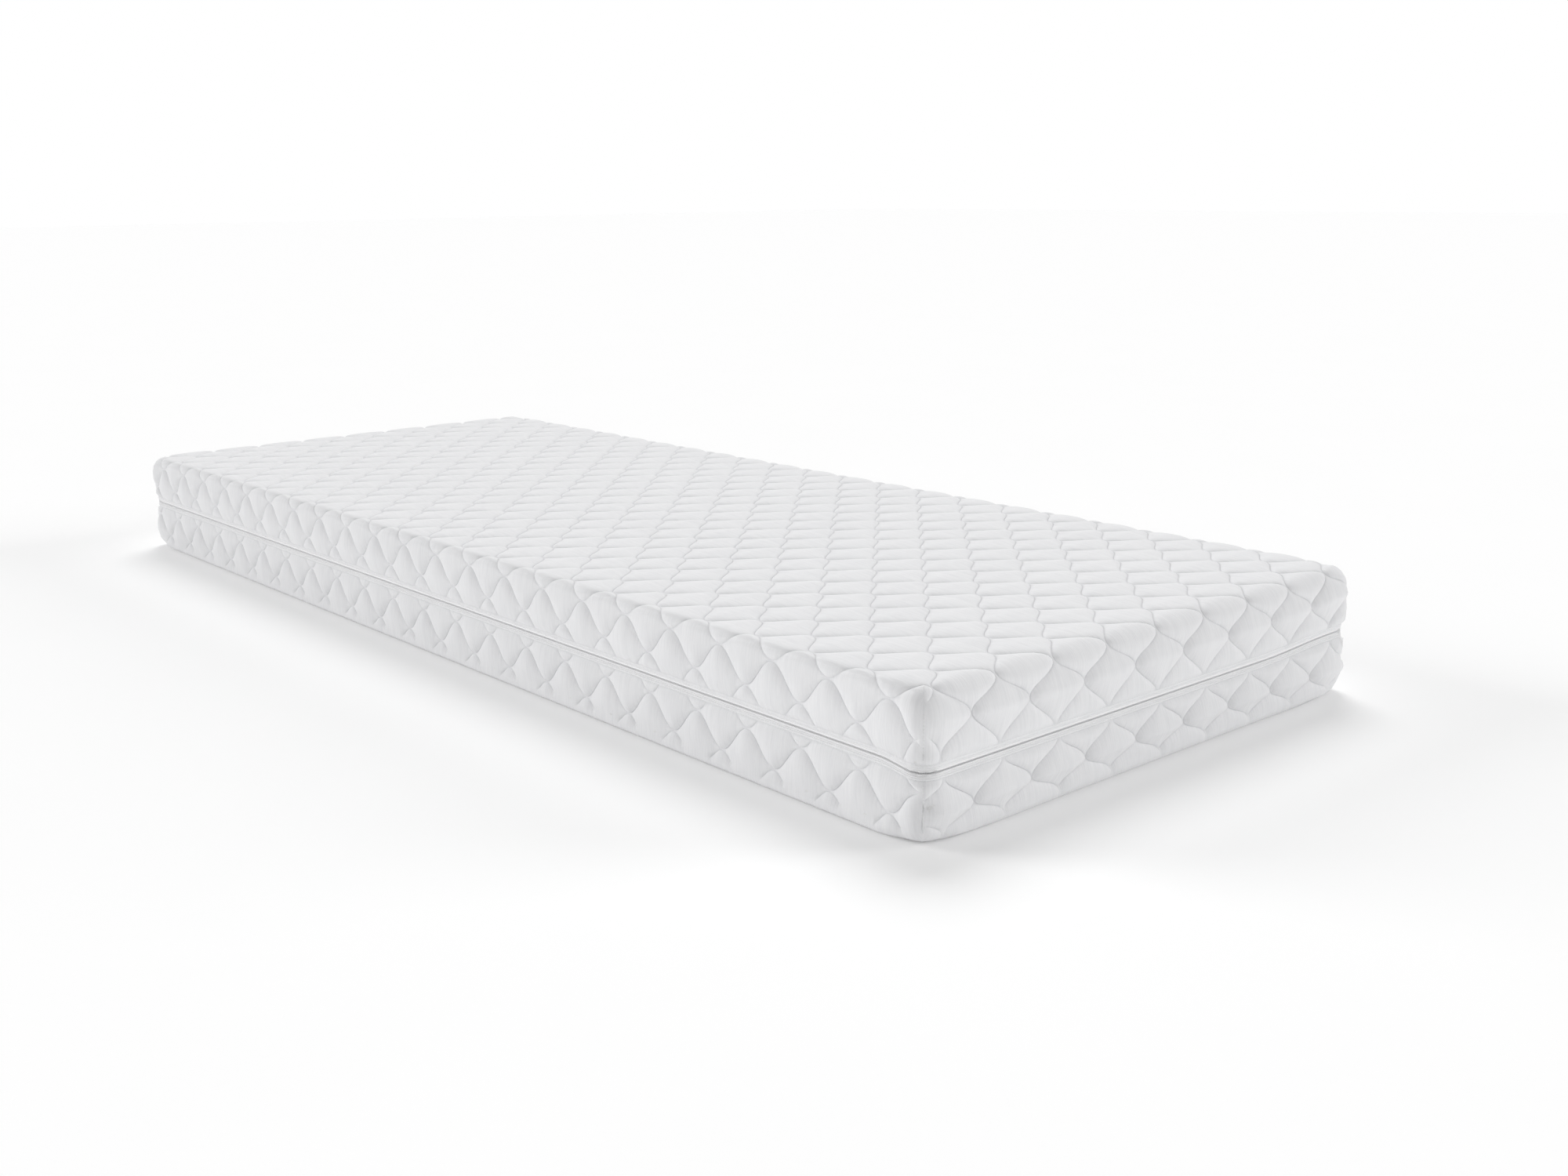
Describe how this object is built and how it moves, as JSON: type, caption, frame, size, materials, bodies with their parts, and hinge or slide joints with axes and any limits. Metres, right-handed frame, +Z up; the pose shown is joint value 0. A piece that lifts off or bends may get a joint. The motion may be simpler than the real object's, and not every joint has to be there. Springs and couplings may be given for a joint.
{
  "type": "memory foam mattress",
  "caption": "Single foam mattress in a quilted knit cover whose halves zip apart round the sides; the glued foam core lifts out.",
  "frame": {"origin": "centre of the underside, on the surface that the mattress lies on", "axes": "+X along the length, +Y across the width towards the side that holds the zip slider, +Z up through the thickness"},
  "size_m": [2, 0.8, 0.17],
  "materials": {
    "ticking": "matte",
    "wadding": "matte",
    "backing": "matte",
    "thread": "matte",
    "zip_tape": "matte",
    "zip_coil": "satin",
    "stop_metal": "satin",
    "memory_foam": "matte",
    "support_foam": "matte",
    "slider_metal": "satin",
    "pull_metal": "satin"
  },
  "bodies": {
    "bottom_cover": {"bottom_ticking": "ticking", "bottom_wadding": "wadding", "bottom_backing": "backing", "bottom_corner_seams": "thread", "bottom_hem_stitching": "thread", "zip_tape_lower": "zip_tape", "zip_coil_lower": "zip_coil", "zip_stop_lower": "stop_metal"},
    "core": {"support_foam_core": "support_foam", "memory_foam_layer": "memory_foam"},
    "top_cover": {"top_ticking": "ticking", "top_wadding": "wadding", "top_backing": "backing", "top_corner_seams": "thread", "top_hem_stitching": "thread", "zip_tape_upper": "zip_tape", "zip_coil_upper": "zip_coil", "zip_stop_upper": "stop_metal"},
    "zip_slider": {"slider_body": "slider_metal", "slider_bridge": "slider_metal"},
    "pull_tab": {"pull_tab": "pull_metal"}
  },
  "joints": [
    {"name": "core_lift", "type": "slide", "parent": "bottom_cover", "child": "core", "axis": [0, 0, 1], "range_m": [0, 0.25]},
    {"name": "top_cover_lift", "type": "slide", "parent": "core", "child": "top_cover", "axis": [0, 0, 1], "range_m": [0, 0.25]},
    {"name": "slider_travel", "type": "slide", "parent": "bottom_cover", "child": "zip_slider", "axis": [1, 0, 0], "range_m": [0, 1.89]},
    {"name": "pull_tab_swing", "type": "hinge", "parent": "zip_slider", "child": "pull_tab", "pos_m": [-0.934, 0.39695, 0.084], "axis": [0, 0, -1], "range_deg": [0, 180]}
  ]
}
